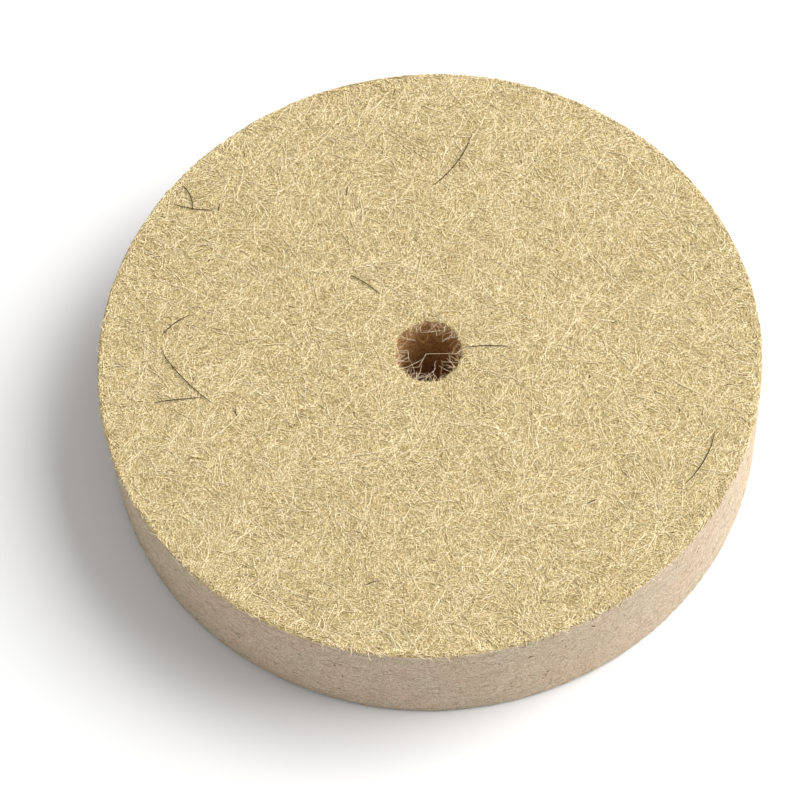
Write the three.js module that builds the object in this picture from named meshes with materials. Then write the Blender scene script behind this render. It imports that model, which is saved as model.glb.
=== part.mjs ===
// A hard felt polishing wheel for lapidary work. It is a disc cut from one block of pressed wool felt:
// a coarse skin of long fibre on each face, a dense core between them whose rim is ground true, and a
// plain hole through the middle for the spindle of a polishing machine.
//
// Units are millimetres. The wheel lies on its back face with its axis along +Z, and the origin is the
// centre of the spindle hole at the back face.

import * as THREE from "three";

// Driving dimensions
const WHEEL_DIAMETER = 125;
const WHEEL_THICKNESS = 25;
const SPINDLE_HOLE_DIAMETER = 12.7; // slides onto a half-inch spindle
const SKIN_THICKNESS = 1; // depth of the long fibre on each face
const BROKEN_EDGE = 0.4; // width of the chamfer that softens both edges of a face
const SIDES_AROUND = 96; // leaves the round faces within 0.04 mm of a true cylinder

// Radii and heights worked out from them
const RIM = WHEEL_DIAMETER / 2;
const BORE = SPINDLE_HOLE_DIAMETER / 2;
const BACK_FACE = 0;
const BACK_PLY = BACK_FACE + SKIN_THICKNESS;
const FRONT_FACE = WHEEL_THICKNESS;
const FRONT_PLY = FRONT_FACE - SKIN_THICKNESS;

const skinFelt = { color: 0xd7c392, roughness: 0.95, metalness: 0 };
const groundFelt = { color: 0xd2c0a7, roughness: 0.9, metalness: 0 };

// One layer of the wheel: its half-section, given as [radius, height] corners taken anticlockwise and
// closed on itself, is turned about the wheel's axis.
function feltLayer(name, corners, finish) {
  const outline = [...corners, corners[0]].map(([radius, height]) => new THREE.Vector2(radius, height));
  const ring = new THREE.LatheGeometry(outline, SIDES_AROUND);
  ring.rotateX(Math.PI / 2); // a lathe turns about Y, and the wheel's axis is Z
  const layer = new THREE.Mesh(ring, new THREE.MeshStandardMaterial(finish));
  layer.name = name;
  return layer;
}

// The skins keep square edges where they are felted to the core, and broken edges at the open face.
const frontSkin = feltLayer(
  "front_skin",
  [
    [RIM, FRONT_PLY],
    [RIM, FRONT_FACE - BROKEN_EDGE],
    [RIM - BROKEN_EDGE, FRONT_FACE],
    [BORE + BROKEN_EDGE, FRONT_FACE],
    [BORE, FRONT_FACE - BROKEN_EDGE],
    [BORE, FRONT_PLY],
  ],
  skinFelt,
);

const core = feltLayer(
  "felt_core",
  [
    [RIM, BACK_PLY],
    [RIM, FRONT_PLY],
    [BORE, FRONT_PLY],
    [BORE, BACK_PLY],
  ],
  groundFelt,
);

const backSkin = feltLayer(
  "back_skin",
  [
    [RIM - BROKEN_EDGE, BACK_FACE],
    [RIM, BACK_FACE + BROKEN_EDGE],
    [RIM, BACK_PLY],
    [BORE, BACK_PLY],
    [BORE, BACK_FACE + BROKEN_EDGE],
    [BORE + BROKEN_EDGE, BACK_FACE],
  ],
  skinFelt,
);

const wheel = new THREE.Group();
wheel.name = "felt_polishing_wheel";
wheel.add(frontSkin, core, backSkin);

export default wheel;
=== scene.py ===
"""A hard wool felt polishing wheel: two coarse matted faces, a ground rim and a plain spindle hole.

Lengths are in millimetres until a mesh is made, where MM turns them into the frame's metres. Wool
fibre is 0.03 to 0.06 mm thick and there are millions in a wheel. The fibres here are far fewer, and
most are two to three times as coarse, which is as fine as shows.
"""

from math import pi, radians

import bpy
import numpy as np
from mathutils import Matrix, Vector, noise


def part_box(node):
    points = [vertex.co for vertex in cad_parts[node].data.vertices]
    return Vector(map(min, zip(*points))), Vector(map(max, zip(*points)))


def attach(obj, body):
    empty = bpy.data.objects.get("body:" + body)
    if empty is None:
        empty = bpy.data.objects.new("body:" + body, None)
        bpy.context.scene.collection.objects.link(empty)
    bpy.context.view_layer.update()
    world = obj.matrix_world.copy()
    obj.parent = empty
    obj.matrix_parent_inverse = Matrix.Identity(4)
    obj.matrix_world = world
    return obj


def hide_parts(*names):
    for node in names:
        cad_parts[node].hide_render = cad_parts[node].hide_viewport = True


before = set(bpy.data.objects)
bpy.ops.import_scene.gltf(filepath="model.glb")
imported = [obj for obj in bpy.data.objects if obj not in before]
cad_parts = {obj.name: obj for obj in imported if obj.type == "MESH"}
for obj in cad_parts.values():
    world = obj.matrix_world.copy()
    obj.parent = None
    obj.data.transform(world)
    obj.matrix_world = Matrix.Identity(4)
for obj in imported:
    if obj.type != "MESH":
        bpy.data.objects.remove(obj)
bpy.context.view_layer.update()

MM = 0.001
BODY = "root"

# Sizes, from the frame ---------------------------------------------------------------------------

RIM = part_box("felt_core")[1][0] / MM
HOLE = min(v.co.xy.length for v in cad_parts["felt_core"].data.vertices) / MM
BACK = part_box("back_skin")[0][2] / MM
BACK_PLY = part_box("back_skin")[1][2] / MM
FRONT_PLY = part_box("front_skin")[0][2] / MM
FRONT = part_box("front_skin")[1][2] / MM

# Materials ---------------------------------------------------------------------------------------


def linear(hex_colour):
    """An sRGB hex colour as the linear RGBA that Blender's sockets take."""
    parts = [int(hex_colour[i : i + 2], 16) / 255 for i in (1, 3, 5)]
    return (*(p / 12.92 if p <= 0.04045 else ((p + 0.055) / 1.055) ** 2.4 for p in parts), 1)


def add(material, kind, settings, sockets):
    """Adds a node. sockets gives each input, by name or number, a value or an output to link."""
    tree = material.node_tree
    node = tree.nodes.new(kind)
    for key, value in settings.items():
        if key == "stops":
            points = node.color_ramp.elements
            while len(points) < len(value):
                points.new(0.5)
            for point, (position, colour) in zip(points, value):
                point.position = position
                point.color = linear(colour)
        else:
            setattr(node, key, value)
    for key, value in sockets.items():
        if isinstance(value, bpy.types.NodeSocket):
            tree.links.new(value, node.inputs[key])
        else:
            node.inputs[key].default_value = value
    return node


def start_material(name, roughness, specular):
    """A material with its shader's plain values set, and its shader."""
    material = bpy.data.materials.new(name)
    material.use_nodes = True
    shader = material.node_tree.nodes["Principled BSDF"]
    shader.inputs["Roughness"].default_value = roughness
    shader.inputs["Specular IOR Level"].default_value = specular
    return material, shader


def drawn_out(material, place, turn, size):
    """Noise in lumps of size (x, y, z) in mm, turned about Z: long thin lumps look like fibres."""
    sockets = {"Vector": place, "Rotation": (0, 0, turn), "Scale": tuple(s * MM for s in size)}
    own = add(material, "ShaderNodeMapping", {"vector_type": "TEXTURE"}, sockets)
    sockets = {"Vector": own.outputs[0], "Scale": 1.0, "Detail": 1.0}
    return add(material, "ShaderNodeTexNoise", {}, sockets).outputs["Fac"]


# The size in mm of the clouds in which a hue drifts, and its cool and its warm tint.
CREAM_DRIFT = (8, "#fdf9ec", "#fff8ea")
BUFF_DRIFT = (10, "#fafbf7", "#fff8f3")


def colour_wool(material, shader, pattern, stops, place, drift):
    """Colours wool by a pattern, from dim to bright, with a slow drift of hue over it."""
    bright = add(material, "ShaderNodeValToRGB", {"stops": stops}, {"Fac": pattern})
    size, cool, warm = drift
    sockets = {"Vector": place, "Scale": 1 / (size * MM), "Detail": 2.0}
    cloud = add(material, "ShaderNodeTexNoise", {}, sockets).outputs["Fac"]
    stops = [(0.35, cool), (0.65, warm)]
    tint = add(material, "ShaderNodeValToRGB", {"stops": stops}, {"Fac": cloud})
    mixed = add(
        material,
        "ShaderNodeMix",
        {"data_type": "RGBA", "blend_type": "MULTIPLY"},
        {"Factor": 1.0, 6: bright.outputs["Color"], 7: tint.outputs["Color"]},
    )
    material.node_tree.links.new(mixed.outputs[2], shader.inputs["Base Color"])


def finish_felt(material, shader, pattern, stops, place, drift, height):
    """Colours felt by the pattern of its fibres, and raises it by the same up to a height in mm."""
    colour_wool(material, shader, pattern, stops, place, drift)
    sockets = {"Height": pattern, "Strength": 1.0, "Distance": height * MM}
    bump = add(material, "ShaderNodeBump", {}, sockets)
    material.node_tree.links.new(bump.outputs["Normal"], shader.inputs["Normal"])


def matted_wool():
    """Pressed wool as it leaves the fulling mill: fibres every way, bright on top, painted shade in
    the gaps.

    Its fibres are drawn 0.13 mm wide, coarser than real, to show between the modelled ones.
    """
    material, shader = start_material("matted_wool", 0.9, 0.2)
    place = add(material, "ShaderNodeTexCoord", {}, {}).outputs["Object"]
    sockets = {"Vector": place, "Scale": 1 / (2.0 * MM), "Detail": 0.0}
    sway = add(material, "ShaderNodeTexNoise", {}, sockets).outputs["Color"]
    sockets = {0: sway, 1: (1.6 * MM, 1.6 * MM, 0), 2: place}
    bent = add(material, "ShaderNodeVectorMath", {"operation": "MULTIPLY_ADD"}, sockets).outputs[0]
    pattern = drawn_out(material, bent, 0.3, (1.6, 0.13, 1.0))
    for turn in (1.2, 2.0, 2.8):
        more = drawn_out(material, bent, turn, (1.3, 0.12, 1.0))
        sockets = {0: pattern, 1: more}
        pattern = add(material, "ShaderNodeMath", {"operation": "MAXIMUM"}, sockets).outputs[0]
    # The dark low end of the ramp is painted shade for the gaps between fibres.
    stops = [(0.5, "#7a683e"), (0.6, "#ab9b70"), (0.68, "#cbbe98"), (0.8, "#e6dcbb")]
    finish_felt(material, shader, pattern, stops, place, CREAM_DRIFT, 0.12)
    return material


def ground_wool(name, stops, height):
    """Felt cut across and ground: a close even nap, with a trace of the layers it was pressed from.

    The layers are flat lumps 0.4 mm thick. The nap is drawn 0.24 mm wide, coarser than real.
    """
    material, shader = start_material(name, 0.85, 0.25)
    place = add(material, "ShaderNodeTexCoord", {}, {}).outputs["Object"]
    pattern = drawn_out(material, place, 0.0, (5, 5, 0.4))
    for share, turn, size in ((0.7, 0.4, (0.8, 0.8, 0.25)), (0.6, 1.0, (0.24, 0.24, 0.2))):
        more = drawn_out(material, place, turn, size)
        sockets = {"Factor": share, 2: pattern, 3: more}
        pattern = add(material, "ShaderNodeMix", {"data_type": "FLOAT"}, sockets).outputs[0]
    finish_felt(material, shader, pattern, stops, place, BUFF_DRIFT, height)
    return material


def wool_fibre(name, stops, specular):
    """Single wool fibres: soft shine, each its own tone, painted shade and light along it."""
    material, shader = start_material(name, 0.55, specular)
    tone = add(material, "ShaderNodeAttribute", {"attribute_name": "tone"}, {}).outputs["Fac"]
    place = add(material, "ShaderNodeTexCoord", {}, {}).outputs["Object"]
    # Noise along each fibre: painted shade and light for where it dips under others and rises.
    sockets = {"Vector": place, "Scale": 1 / (0.3 * MM), "Detail": 0.0}
    dip_shade = add(material, "ShaderNodeTexNoise", {}, sockets).outputs["Fac"]
    tone_and_dip_shade = add(material, "ShaderNodeMath", {"operation": "ADD"}, {0: tone, 1: dip_shade}).outputs[0]
    sockets = {0: tone_and_dip_shade, 1: 0.5}  # the middle of the noise, so that tone stays the middle shade
    shade = add(material, "ShaderNodeMath", {"operation": "SUBTRACT"}, sockets).outputs[0]
    colour_wool(material, shader, shade, stops, place, CREAM_DRIFT)
    return material


# Meshes ------------------------------------------------------------------------------------------


def lumps(points, size, seed):
    """Smooth noise from about -1 to 1 at each point, in lumps of the given size."""
    shift = Vector((7.3, -3.1, 5.7)) * seed
    values = [noise.noise(Vector(p) + shift) for p in points.reshape(-1, 3) / size]
    return np.array(values).reshape(points.shape[:-1])


def make_piece(name, points, faces, materials, stands_for=None, which=None):
    """A piece of the wheel. which gives each face the number of its material."""
    mesh = bpy.data.meshes.new(name)
    mesh.from_pydata((points.reshape(-1, 3) * MM).tolist(), [], faces)
    mesh.shade_smooth()
    for material in materials:
        mesh.materials.append(material)
    if which is not None:
        mesh.polygons.foreach_set("material_index", which)
    piece = bpy.data.objects.new(name, mesh)
    bpy.context.scene.collection.objects.link(piece)
    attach(piece, BODY)
    if stands_for:
        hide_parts(stands_for)
    return piece


AROUND = 720  # how many faces go round each ring
FRONT_SEED, BACK_SEED = 10, 20
WORN_EDGE = 0.35  # radius of the round that handling has put on the edges of the faces
REST_GAP = 0.3  # the back stands this far off what the wheel lies on, but for its fibres
ROUGH_BAND = 1.5  # how far the unevenness of the rim and of the hole wall reaches into a face


def turned(outline):
    """Points and faces of a closed outline of (radius, height) points turned about the axis."""
    angle = np.linspace(0, 2 * pi, AROUND, endpoint=False)[:, None]
    radius, height = np.array(outline).T
    count = len(outline)
    points = np.stack((np.cos(angle) * radius, np.sin(angle) * radius, height + 0 * angle), -1)
    i, j = np.meshgrid(np.arange(AROUND), np.arange(count), indexing="ij")
    i_next, j_next = (i + 1) % AROUND, (j + 1) % count
    here, beyond = i * count, i_next * count
    corners = (here + j, beyond + j, beyond + j_next, here + j_next)
    return points, np.stack(corners, -1).reshape(-1, 4)


def rim_relief(points):
    """How far the ground rim stands in or out."""
    return 0.05 * lumps(points, 7, 1) + 0.025 * lumps(points * (1, 1, 2.5), 1.6, 2)


def hole_outline(points):
    """How far the punch strayed from a circle, the same all the way down the hole."""
    return 0.5 * lumps(points * (1, 1, 0), 4.0, 3)


def hole_relief(points):
    """How far the wall of the hole stands in or out."""
    return hole_outline(points) + 0.22 * lumps(points, 1.2, 4)


def face_relief(points, seed):
    """How far a face stands up or down."""
    flat = points * (1, 1, 0)
    small = lumps(flat, 2.4, seed + 1) + lumps(flat, 0.9, seed + 2)
    return 0.12 * lumps(flat, 9, seed) + 0.02 * small


def roughen(points):
    """Moves a layer's rim and hole wall in and out, alike in every layer, so that they meet."""
    radius = np.hypot(points[..., 0], points[..., 1])
    at_rim = np.clip(1 - (RIM - radius) / ROUGH_BAND, 0, 1)
    at_hole = np.clip(1 - (radius - HOLE) / ROUGH_BAND, 0, 1)
    moved = radius + at_rim * rim_relief(points) + at_hole * hole_relief(points)
    return points * np.stack((moved / radius, moved / radius, np.ones_like(radius)), -1)


def run(start, end, size):
    """Evenly spaced values from start up to, and not including, end."""
    return np.linspace(start, end, max(1, round(abs(end - start) / size)), endpoint=False)


def skin_outline():
    """A skin's half-section, from its ply at height 0 to its open face at the skin's thickness."""
    top = FRONT - FRONT_PLY
    turns = run(0, pi / 2, 0.4)
    round_over = [(WORN_EDGE * (1 - np.cos(t)), WORN_EDGE * (1 - np.sin(t))) for t in turns]
    outer = [(RIM, z) for z in run(0, top - WORN_EDGE, 0.25)]
    outer += [(RIM - inward, top - down) for inward, down in round_over]
    across = [(r, top) for r in run(RIM - WORN_EDGE, HOLE + WORN_EDGE, 0.6)]
    inner = [(HOLE + inward, top - down) for inward, down in round_over[:0:-1]]
    inner += [(HOLE, z) for z in run(top - WORN_EDGE, 0, 0.25)]
    return outer + across + [(HOLE + WORN_EDGE, top)] + inner + [(HOLE, 0)]


def skin(name, node, seed, flip):
    """A matted skin. The back one is the front one's outline turned over."""
    outline = skin_outline()
    depth = FRONT - FRONT_PLY
    if flip:
        outline = [(r, BACK_PLY - z) for r, z in outline[::-1]]
    else:
        outline = [(r, FRONT_PLY + z) for r, z in outline]
    points, faces = turned(outline)
    height = points[..., 2]
    openness = (BACK_PLY - height) / depth if flip else (height - FRONT_PLY) / depth
    relief = face_relief(points, seed)
    radius = np.hypot(points[..., 0], points[..., 1]).ravel()[faces].mean(axis=1)
    # Faces at the rim take the ground wool; faces on the hole wall take the hole's wool, whose
    # darker, browner colour is painted shade.
    rim_or_shaded_hole = np.where(radius > RIM - WORN_EDGE / 3, 1, np.where(radius < HOLE + 0.05, 2, 0))
    points = roughen(points)
    points[..., 2] += openness * ((REST_GAP + relief) if flip else relief)
    every = [MATTED, GROUND, HOLE_WOOL_PAINTED_SHADE]
    make_piece(name, points, faces.tolist(), every, node, rim_or_shaded_hole)


def core():
    """The dense middle of the wheel, ground round its rim."""
    outline = [(RIM, z) for z in run(BACK_PLY, FRONT_PLY, 0.5)] + [(RIM, FRONT_PLY)]
    outline += [(HOLE, z) for z in run(FRONT_PLY, BACK_PLY, 0.5)] + [(HOLE, BACK_PLY)]
    points, faces = turned(outline)
    radius = np.hypot(points[..., 0], points[..., 1]).ravel()[faces].mean(axis=1)
    # Faces on the hole wall take the hole's wool, whose darker, browner colour is painted shade.
    rim_or_shaded_hole = np.where(radius < HOLE + 0.1, 1, 0)
    points = roughen(points)
    both = [GROUND, HOLE_WOOL_PAINTED_SHADE]
    make_piece("ground_felt_core", points, faces.tolist(), both, "felt_core", rim_or_shaded_hole)


# Fibres ------------------------------------------------------------------------------------------
# A fibre is drawn on a surface laid flat, as (u, v) points, then put on that surface at a height.


def over_face(x, y, up, level, facing, seed):
    """Points up from a face laid flat, which past the rim folds over the worn edge and on down."""
    radius = np.hypot(x, y)
    past = radius - (RIM - WORN_EDGE)
    turn = np.clip(past / WORN_EDGE, 0, pi / 2)
    hang = np.maximum(past - WORN_EDGE * pi / 2, 0)
    out = np.stack((x / radius, y / radius, 0 * x), -1)
    relief = face_relief(np.stack((x, y, 0 * x), -1), seed)
    new_radius = np.minimum(radius, RIM - WORN_EDGE) + (WORN_EDGE + up) * np.sin(turn)
    height = relief * np.cos(turn) + facing * ((WORN_EDGE + up) * np.cos(turn) - WORN_EDGE - hang)
    axis = np.array((0, 0, facing * 1.0))
    points = out * new_radius[..., None]
    points[..., 2] = level + height
    return points, out * np.sin(turn)[..., None] + axis * np.cos(turn)[..., None]


def on_front(x, y, up):
    """Points on the front face, and which way is up there."""
    return over_face(x, y, up, FRONT, 1, FRONT_SEED)


def on_back(x, y, up):
    """Points on the back face, and which way is up there."""
    return over_face(x, y, up, BACK + REST_GAP, -1, BACK_SEED)


def on_rim(u, v, up):
    """Points on the rim, u round it and v along the axis, and which way is up there."""
    out = np.stack((np.cos(u / RIM), np.sin(u / RIM), 0 * u), -1)
    wall = out * RIM + np.stack((0 * u, 0 * u, v), -1)
    return wall + out * (rim_relief(wall) + up)[..., None], out


def in_hole(u, v, up):
    """Points on the hole's wall, u round it and v along the axis, and which way is up there."""
    out = np.stack((np.cos(u / HOLE), np.sin(u / HOLE), 0 * u), -1)
    wall = out * HOLE + np.stack((0 * u, 0 * u, v), -1)
    return wall + out * (hole_relief(wall) - up)[..., None], -out


class Fibres:
    """Fibres drawn flat: where each starts, which way it runs, how long it is and how it curls."""

    def __init__(self, seed, number, length, spread=0.35, bend=0.12, crimp=0.35):
        self.rng = np.random.default_rng(seed)
        self.number = number
        self.lengths = self.rng.lognormal(np.log(length), spread, number)
        self.headings = self.rng.uniform(0, 2 * pi, number)
        self.curls = self.rng.normal(0, bend, number)
        self.pitches = self.rng.uniform(2.0, 5.0, number)
        self.phases = self.rng.uniform(0, 2 * pi, number)
        self.swings = self.rng.normal(0, crimp, number)
        self.starts = np.zeros((number, 2))

    def draw(self, count):
        """Each fibre's points, of shape (fibres, points, 2)."""
        along = np.linspace(0, 1, count) * self.lengths[:, None]
        waves = 2 * pi * along / self.pitches[:, None] + self.phases[:, None]
        crimp = self.swings[:, None] * np.sin(waves)
        heading = self.headings[:, None] + self.curls[:, None] * along + crimp
        step = (self.lengths / (count - 1))[:, None, None]
        moves = np.stack((np.cos(heading), np.sin(heading)), -1) * step
        return self.starts[:, None, :] + np.cumsum(moves, axis=1) - moves[:, :1]


def tubes(name, lines, normals, thickness, tones, material, splay=1.0, shade=0.0):
    """Closed three-sided tubes, thinner at both ends, along lines of shape (fibres, points, 3).

    One edge runs along the top. The other two are splayed out beside it, and their tone is darkened
    by shade: painted shade for the crevice where the matted wool closes in round a fibre.
    """
    fibres, count, _ = lines.shape
    sides = 3
    tangent = np.gradient(lines, axis=1)
    side = np.cross(tangent, normals)
    side /= np.linalg.norm(side, axis=-1, keepdims=True) + 1e-9
    over = np.cross(side, tangent)
    over /= np.linalg.norm(over, axis=-1, keepdims=True) + 1e-9
    taper = 0.35 + 0.65 * np.sqrt(np.sin(np.linspace(0, pi, count)).clip(0))
    radius = (thickness[:, None] * taper / 2)[..., None]
    turns = pi / 2 + np.arange(sides) * 2 * pi / sides
    edges = [lines + radius * (splay * np.cos(t) * side + np.sin(t) * over) for t in turns]
    points = np.stack(edges, axis=2)
    first = np.arange(fibres)[:, None, None] * count * sides
    ring = first + np.arange(count - 1)[None, :, None] * sides
    k = np.arange(sides)
    k_next = (k + 1) % sides
    walls = np.stack((ring + k, ring + sides + k, ring + sides + k_next, ring + k_next), -1)
    starts = (first + k).reshape(-1, sides)
    ends = (first + (count - 1) * sides + k[::-1]).reshape(-1, sides)
    faces = walls.reshape(-1, 4).tolist() + starts.tolist() + ends.tolist()
    piece = make_piece(name, points, faces, [material])
    # The two lower edges of each tube are darker in tone: painted shade for the crevice beside a
    # fibre.
    painted_side_shade = np.tile((0.0, shade, shade), fibres * count)
    tone = (np.repeat(tones, count * sides) - painted_side_shade).clip(0, 1)
    own = piece.data.attributes.new("tone", "FLOAT", "POINT")
    own.data.foreach_set("value", tone.astype(np.float32))


GOLDEN_ANGLE = pi * (3 - 5**0.5)
STRAY_ANGLE = 0.6  # how far, in radians, a fibre tends to lie off the way the wool is combed
ALONG_AXIS = np.array((0, 0, 1.0))
HOLE_ANGLES = np.linspace(-pi, pi, 360)
HOLE_WALL = HOLE * np.stack((np.cos(HOLE_ANGLES), np.sin(HOLE_ANGLES), 0 * HOLE_ANGLES), -1)
HOLE_RADII = HOLE + hole_outline(HOLE_WALL)


def end_at_cuts(batch, past_rim, past_hole):
    """Shortens the fibres that the rim or the hole cuts through, to where they are cut."""
    count = 16
    x, y = np.moveaxis(batch.draw(count), -1, 0)
    radius = np.hypot(x, y)
    hole = np.interp(np.arctan2(y, x), HOLE_ANGLES, HOLE_RADII, period=2 * pi)
    gone = (radius > RIM + past_rim[:, None]) | (radius < hole - past_hole[:, None])
    kept = np.where(gone.any(axis=1), gone.argmax(axis=1), count) - 1
    batch.lengths = batch.lengths * np.clip(kept / (count - 1), 0.08, 1)


def combed(x, y):
    """Which way the wool lies at a place on a face, as an angle: it swirls over a centimetre."""
    return 1.6 * pi * lumps(np.stack((x, y, 0 * x), -1), 9, 51)


def scatter(batch, inner, outer):
    """Lays fibres over a ring, their middles even as sunflower seeds, roughly as they are combed.

    One that would start outside the ring starts at its middle.
    """
    number, rng = batch.number, batch.rng
    share = (np.arange(number) + rng.uniform(0, 1, number)) / number
    radius = np.sqrt(inner**2 + (outer**2 - inner**2) * share)
    angle = np.arange(number) * GOLDEN_ANGLE + rng.uniform(0, 2 * pi)
    middles = np.stack((radius * np.cos(angle), radius * np.sin(angle)), -1)
    batch.headings = combed(*middles.T) + rng.normal(0, STRAY_ANGLE, number)
    half = batch.lengths / 2
    back = np.stack((half * np.cos(batch.headings), half * np.sin(batch.headings)), -1)
    starts = middles - back
    start_radius = np.hypot(starts[:, 0], starts[:, 1])
    outside = (start_radius < inner) | (start_radius > outer)
    batch.starts = np.where(outside[:, None], middles, starts)


def face_fibres(
    name,
    seed,
    number,
    length,
    thick,
    rise,
    tone,
    surface,
    count=5,
    bend=0.12,
    crimp=0.35,
    inner=HOLE,
):
    """Fibres matted into a face: each dives in at both ends and lies over others between."""
    batch = Fibres(seed, number, length, bend=bend, crimp=crimp)
    rng = batch.rng
    scatter(batch, inner, RIM - 0.1)
    end_at_cuts(batch, rng.exponential(0.4, number) - 0.27, rng.exponential(0.45, number) - 0.15)
    u, v = np.moveaxis(batch.draw(count), -1, 0)
    dive = rng.uniform(-0.08, 0.0, number)[:, None]
    hump = np.sin(np.linspace(0, pi, count)) * rise * rng.uniform(0.4, 1.0, number)[:, None]
    lines, normals = surface(u, v, dive + hump)
    patch = lumps(lines[:, 0] * (1, 1, 0), 9, 31)
    tones = np.clip(rng.normal(tone, 0.13, number) + 0.05 * patch, 0, 1)
    thickness = thick * rng.uniform(0.75, 1.25, number)
    # Each fibre's two side edges are 0.7 darker in tone: painted shade.
    tubes(name, lines, normals, thickness, tones, WOOL, splay=1.8, shade=0.7)


def loose_ends(name, seed, number, inner):
    """Loose ends that stand off the front face."""
    batch = Fibres(seed, number, 3.2, bend=0.2, crimp=0.5)
    rng = batch.rng
    scatter(batch, inner, RIM - 0.1)
    end_at_cuts(batch, rng.uniform(0, 0.6, number), rng.exponential(0.5, number))
    u, v = np.moveaxis(batch.draw(8), -1, 0)
    rise = np.linspace(0, 1, 8) ** 1.3 * rng.uniform(0.3, 1.2, number)[:, None]
    lines, normals = on_front(u, v, rise - 0.05)
    tones = np.clip(rng.normal(0.85, 0.12, number), 0, 1)
    tubes(name, lines, normals, np.full(number, 0.1), tones, WOOL)


def over_wall(batch, radius, low, high):
    """Starts the fibres anywhere on a wall round the axis, between two heights."""
    round_it = batch.rng.uniform(0, 2 * pi * radius, batch.number)
    up_it = batch.rng.uniform(low, high, batch.number)
    batch.starts = np.stack((round_it, up_it), -1)


def rim_nap(name, seed, number):
    """The close nap that grinding leaves on the rim, rather more along the layers than across."""
    batch = Fibres(seed, number, 1.1, spread=0.5, bend=0.3, crimp=0.3)
    rng = batch.rng
    batch.headings = rng.normal(0, 0.8, number) + pi * rng.integers(0, 2, number)
    over_wall(batch, RIM, BACK, FRONT)
    u, v = np.moveaxis(batch.draw(4), -1, 0)
    hump = np.sin(np.linspace(0, pi, 4)) * rng.uniform(0.0, 0.05, number)[:, None]
    lines, normals = on_rim(u, np.clip(v, BACK + 0.3, FRONT - 0.2), hump - 0.01)
    tones = np.clip(rng.normal(0.6, 0.25, number), 0, 1)
    tubes(name, lines, normals, rng.uniform(0.04, 0.07, number), tones, NAP)


def rim_strays(name, seed, number):
    """The odd longer fibre that grinding has pulled out of the rim."""
    batch = Fibres(seed, number, 2.6, bend=0.3, crimp=0.5)
    rng = batch.rng
    over_wall(batch, RIM, BACK + 1, FRONT - 1)
    u, v = np.moveaxis(batch.draw(8), -1, 0)
    lift = np.linspace(0, 1, 8) * rng.exponential(0.35, number).clip(0, 1.5)[:, None]
    lines, normals = on_rim(u, np.clip(v, BACK + 0.3, FRONT - 0.2), lift)
    tones = np.clip(rng.normal(0.8, 0.15, number), 0, 1)
    tubes(name, lines, normals, np.full(number, 0.08), tones, NAP)


def hole_fringe(name, seed, number):
    """The ragged edge that the punch leaves: fibres that reach from the face into the hole."""
    batch = Fibres(seed, number, 1.5, spread=0.55, bend=0.12, crimp=0.35)
    rng = batch.rng
    angle = rng.uniform(0, 2 * pi, number)
    root = np.interp(angle, HOLE_ANGLES, HOLE_RADII, period=2 * pi) + rng.uniform(-0.1, 0.8, number)
    batch.starts = np.stack((root * np.cos(angle), root * np.sin(angle)), -1)
    batch.headings = angle + pi + rng.normal(0, 0.8, number)
    x, y = np.moveaxis(batch.draw(8), -1, 0)
    depth = rng.exponential(0.8, number)
    droop = np.linspace(0, 1, 8) ** 2 * rng.normal(0.2, 0.4, number)[:, None]
    lines = np.stack((x, y, FRONT - 0.05 - depth[:, None] - droop), -1)
    # Fibres deeper in the hole get a darker tone: painted shade.
    tones = np.clip(rng.normal(1.0, 0.1, number) - 0.5 * depth, 0, 1)
    thickness = rng.uniform(0.05, 0.1, number)
    tubes(name, lines, ALONG_AXIS, thickness, tones, HOLE_FIBRE_PAINTED_SHADE)


def wall_fuzz(name, seed, number):
    """Loose nap on the wall of the hole."""
    batch = Fibres(seed, number, 2.0, bend=0.3, crimp=0.4)
    rng = batch.rng
    over_wall(batch, HOLE, BACK, FRONT)
    u, v = np.moveaxis(batch.draw(6), -1, 0)
    hump = np.sin(np.linspace(0, pi, 6)) * rng.uniform(0.1, 0.6, number)[:, None]
    lines, normals = in_hole(u, np.clip(v, BACK + 0.2, FRONT - 0.1), hump - 0.05)
    # The wall's nap gets a dark tone, low on the brown ramp: painted shade of the deep hole.
    tones = np.clip(rng.normal(0.3, 0.2, number), 0, 1)
    tubes(name, lines, normals, np.full(number, 0.09), tones, HOLE_FIBRE_PAINTED_SHADE)


def walked(start, heading, legs, count):
    """A line of count points walked from a start: each leg has a length and a turn in degrees."""
    lengths, turns = np.array(legs, float).T
    along = np.concatenate(((0,), np.cumsum(lengths)))
    bearings = np.radians(heading + np.concatenate(((0,), np.cumsum(turns))))
    at = np.interp(np.linspace(0, along[-1], count), along, bearings)
    moves = np.stack((np.cos(at), np.sin(at)), -1) * along[-1] / (count - 1)
    return np.array(start) + np.cumsum(moves, axis=0) - moves[0]


# Single hairs, listed one by one: where each starts, which way it heads in degrees, and its legs.
DARK_HAIRS = [
    ((13, 47), -110, [(14, -35)]),
    ((7, 0), 0, [(8, -10)]),
    ((51, -23), -105, [(12, -35)]),
    ((-44, 13), -165, [(7, 35)]),
    ((-50, 7), -95, [(4, 35), (12, 15)]),
    ((-43, -5), 180, [(9, 0)]),
    ((-44, 42), -50, [(6, -45)]),
    ((-46, 38), -30, [(8, 25)]),
    ((-13, 18), -35, [(7, -15)]),
    ((26, -35), 20, [(2, 0)]),
]
PALE_STRANDS = [
    ((2, 61), -120, [(17, -20)]),
    ((8, 60), -55, [(15, -10)]),
    ((-18, 29), -90, [(6, 5)]),
    ((-7, 16), 50, [(10, -20)]),
    ((12, 30), -150, [(9, 40)]),
    ((1, 22), -105, [(8, 0)]),
    ((-13, 0), 30, [(6, -10)]),
    ((40, -21), -90, [(10, 15)]),
    ((27, -31), 180, [(7, 70)]),
    ((44, -32), -100, [(8, 0)]),
    ((-28, -55), -60, [(9, 220)]),
    ((-15, -56), 10, [(6, -110)]),
]
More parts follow.
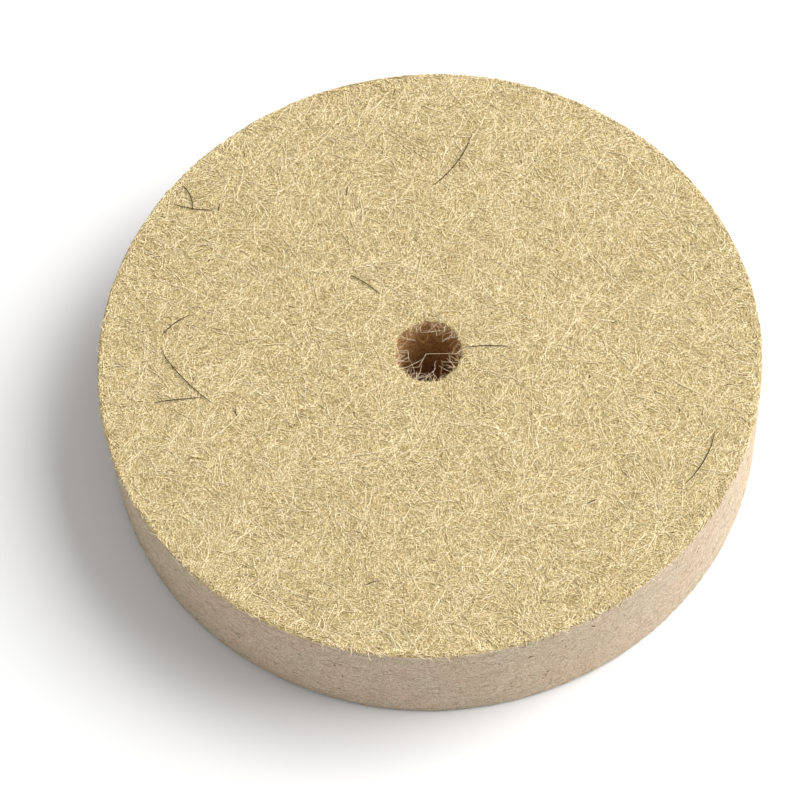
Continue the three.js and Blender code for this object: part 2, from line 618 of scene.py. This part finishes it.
HOLE_STRANDS = [
    ((-4, -3), 0, [(2, 0), (0.5, 60), (2.5, 0), (0.5, -65), (6, 0)]),
    ((-5, -3), 20, [(4, 5)]),
    ((-1, 6), -90, [(1.5, 0), (0.5, 90), (5, 5)]),
    ((-6, 4), -15, [(4, -5)]),
    ((-6, 1), 0, [(2, 0), (0.5, -90), (2, 0)]),
    ((5, -4), 120, [(3, 10)]),
    ((6, -3), 160, [(4, 15)]),
    ((5, -5), 160, [(4, -25)]),
    ((-4, -6), 75, [(2, 0), (0.5, -80), (2, -10)]),
]


def laid_strands(name, hairs, thick, tone, lift, material):
    """Single hairs, laid on the front face."""
    count = 16
    flat = np.array([walked(*hair, count) for hair in hairs])
    hump = np.sin(np.linspace(0, pi, count)) * 0.12 + lift
    lines, normals = on_front(flat[..., 0], flat[..., 1], np.tile(hump, (len(flat), 1)))
    tones = np.linspace(tone - 0.1, tone + 0.1, len(flat))
    tubes(name, lines, normals, np.full(len(flat), thick), tones, material)


def strands_over_hole():
    """A few longer hairs that the punch missed, which cross the hole just below the face."""
    count = 24
    flat = np.array([walked(*hair, count) for hair in HOLE_STRANDS])
    depth = np.linspace(0.2, 0.8, len(flat))[:, None] + np.zeros(count)
    lines = np.concatenate((flat, (FRONT - depth)[..., None]), -1)
    tones = np.full(len(flat), 0.85)
    thickness = np.full(len(flat), 0.09)
    tubes("hole_strands", lines, ALONG_AXIS, thickness, tones, WOOL)


def dark_bits():
    """Short bits of dark hair and straw, scattered over the front face."""
    number = 90
    batch = Fibres(8, number, 0.8, spread=0.6, bend=0.2, crimp=0.3)
    rng = batch.rng
    scatter(batch, HOLE + 1, RIM - 1)
    u, v = np.moveaxis(batch.draw(6), -1, 0)
    hump = np.sin(np.linspace(0, pi, 6)) * 0.15 + 0.05 * np.ones((number, 1))
    lines, normals = on_front(u, v, hump)
    tones = rng.uniform(0.0, 1.0, number)
    tubes("dark_bits", lines, normals, rng.uniform(0.1, 0.2, number), tones, KEMP)


def rim_specks():
    """Specks of dark hair, cut off short in the rim."""
    number = 70
    batch = Fibres(9, number, 0.35, spread=0.5)
    rng = batch.rng
    over_wall(batch, RIM, BACK + 1, FRONT - 1)
    u, v = np.moveaxis(batch.draw(4), -1, 0)
    lines, normals = on_rim(u, v, 0.07 * np.ones((number, 4)))
    tones = rng.uniform(0.2, 1.0, number)
    tubes("rim_specks", lines, normals, rng.uniform(0.12, 0.22, number), tones, KEMP)


# The studio --------------------------------------------------------------------------------------


def camera():
    """Looks down from the front, 28 degrees off straight down and rolled a little."""
    data = bpy.data.cameras.new("camera")
    data.lens = 140
    data.clip_end = 10
    eye = bpy.data.objects.new("camera", data)
    place = Matrix.Translation(Vector((-6.2, -282.2, 537.5)) * MM)
    tip = Matrix.Rotation(radians(28.0), 4, "X")
    roll = Matrix.Rotation(radians(-5.8), 4, "Z")
    eye.matrix_world = place @ tip @ roll
    bpy.context.scene.collection.objects.link(eye)
    bpy.context.scene.camera = eye


def floor():
    """A broad sheet of matt white paper, which takes a soft shadow and mirrors nothing.

    It lies low enough that no fibre pokes through it.
    """
    half = 30.0
    corners = [(-half, -half, 0), (half, -half, 0), (half, half, 0), (-half, half, 0)]
    mesh = bpy.data.meshes.new("floor")
    mesh.from_pydata(corners, [], [(0, 1, 2, 3)])
    board = bpy.data.objects.new("floor", mesh)
    board.location.z = -0.3 * MM
    material, shader = start_material("matt_white_paper", 0.9, 0.2)
    shader.inputs["Base Color"].default_value = linear("#e1e1e1")
    mesh.materials.append(material)
    bpy.context.scene.collection.objects.link(board)


def softbox(name, place, size, power):
    """A square soft light aimed at the wheel: place and size in metres, power in watts."""
    data = bpy.data.lights.new(name, "AREA")
    data.shape = "SQUARE"
    data.size = size
    data.energy = power
    lamp = bpy.data.objects.new(name, data)
    lamp.location = place
    lamp.rotation_euler = (-Vector(place)).to_track_quat("-Z", "Y").to_euler()
    bpy.context.scene.collection.objects.link(lamp)


def studio():
    """Even white light from all round, and one large softbox to the right."""
    world = bpy.data.worlds.new("studio")
    world.use_nodes = True
    world.node_tree.nodes["Background"].inputs["Color"].default_value = (1, 1, 1, 1)
    world.node_tree.nodes["Background"].inputs["Strength"].default_value = 0.57
    bpy.context.scene.world = world
    softbox("key_softbox", (0.89, 0.16, 0.95), 1.1, 31)
    bpy.context.scene.view_settings.view_transform = "Standard"


MATTED = matted_wool()
GROUND = ground_wool("ground_wool", [(0.36, "#98856c"), (0.5, "#bfae98"), (0.64, "#dfd2c1")], 0.03)
# The hole's wall: the ground wool in darker, browner colours, which are painted shade for the deep
# hole.
HOLE_WOOL_PAINTED_SHADE = ground_wool(
    "hole_wool_painted_shade", [(0.36, "#95703f"), (0.5, "#c09b6c"), (0.64, "#dcba8c")], 0.15
)
WOOL = wool_fibre(
    "cream_wool_fibre",
    [(0.0, "#86734a"), (0.35, "#c4b386"), (0.7, "#ecdfbd"), (1.0, "#fff7e4")],
    0.35,
)
NAP = wool_fibre("ground_nap_fibre", [(0.0, "#a08e75"), (0.5, "#c4b49e"), (1.0, "#e5d9c9")], 0.25)
# Fibres in and round the hole: the dark brown low end of the ramp is painted shade for the deep
# hole.
HOLE_FIBRE_PAINTED_SHADE = wool_fibre(
    "hole_fibre_painted_shade", [(0.0, "#8a6238"), (0.5, "#bd9b6c"), (1.0, "#fbf3e2")], 0.3
)
KEMP = wool_fibre("dark_kemp_fibre", [(0.0, "#241803"), (0.5, "#4f3b14"), (1.0, "#8f7030")], 0.02)

camera()
skin("front_matted_skin", "front_skin", FRONT_SEED, False)
core()
skin("back_matted_skin", "back_skin", BACK_SEED, True)
# Lower layers are a little darker in tone than upper ones, on the back too: painted shade for
# fibres under others.
face_fibres("front_fibres_1", 101, 14000, 1.8, 0.105, 0.1, 0.64, on_front, count=3)
face_fibres("front_fibres_2", 102, 14000, 1.8, 0.1, 0.12, 0.64, on_front, count=3)
face_fibres("front_fibres_3", 103, 14000, 1.8, 0.1, 0.14, 0.65, on_front, count=3)
face_fibres("front_fibres_4", 104, 14000, 1.8, 0.095, 0.16, 0.66, on_front, count=3)
face_fibres("front_fibres_5", 105, 7200, 3.0, 0.09, 0.18, 0.7, on_front)
face_fibres("front_fibres_6", 106, 7200, 3.4, 0.09, 0.2, 0.74, on_front)
face_fibres("front_fibres_long", 109, 3500, 7.0, 0.09, 0.24, 0.85, on_front, count=10)
face_fibres(
    "front_guard_hairs", 107, 160, 12, 0.1, 0.28, 0.95, on_front, count=20, bend=0.05, crimp=0.2
)
face_fibres("front_edge_fibres", 108, 3000, 2.2, 0.13, 0.25, 0.65, on_front, inner=RIM - 1.2)
face_fibres("back_fibres_1", 201, 14000, 2.2, 0.13, 0.12, 0.6, on_back, count=3)
face_fibres("back_fibres_2", 202, 7200, 3.2, 0.12, 0.18, 0.66, on_back)
face_fibres("back_fibres_long", 204, 1500, 6.5, 0.1, 0.22, 0.8, on_back, count=10)
face_fibres("back_edge_fibres", 203, 1800, 2.2, 0.13, 0.15, 0.6, on_back, inner=RIM - 1.2)
loose_ends("front_loose_ends", 301, 420, HOLE)
loose_ends("front_edge_loose_ends", 302, 160, RIM - 1.5)
rim_nap("rim_nap_1", 401, 9500)
rim_nap("rim_nap_2", 403, 9500)
rim_strays("rim_strays", 402, 260)
hole_fringe("hole_fringe", 601, 320)
wall_fuzz("hole_wall_fuzz", 602, 260)
strands_over_hole()
laid_strands("dark_kemp_hairs", DARK_HAIRS, 0.2, 0.05, 0.25, KEMP)
laid_strands("pale_strands", PALE_STRANDS, 0.14, 0.9, 0.15, WOOL)
dark_bits()
rim_specks()
floor()
studio()
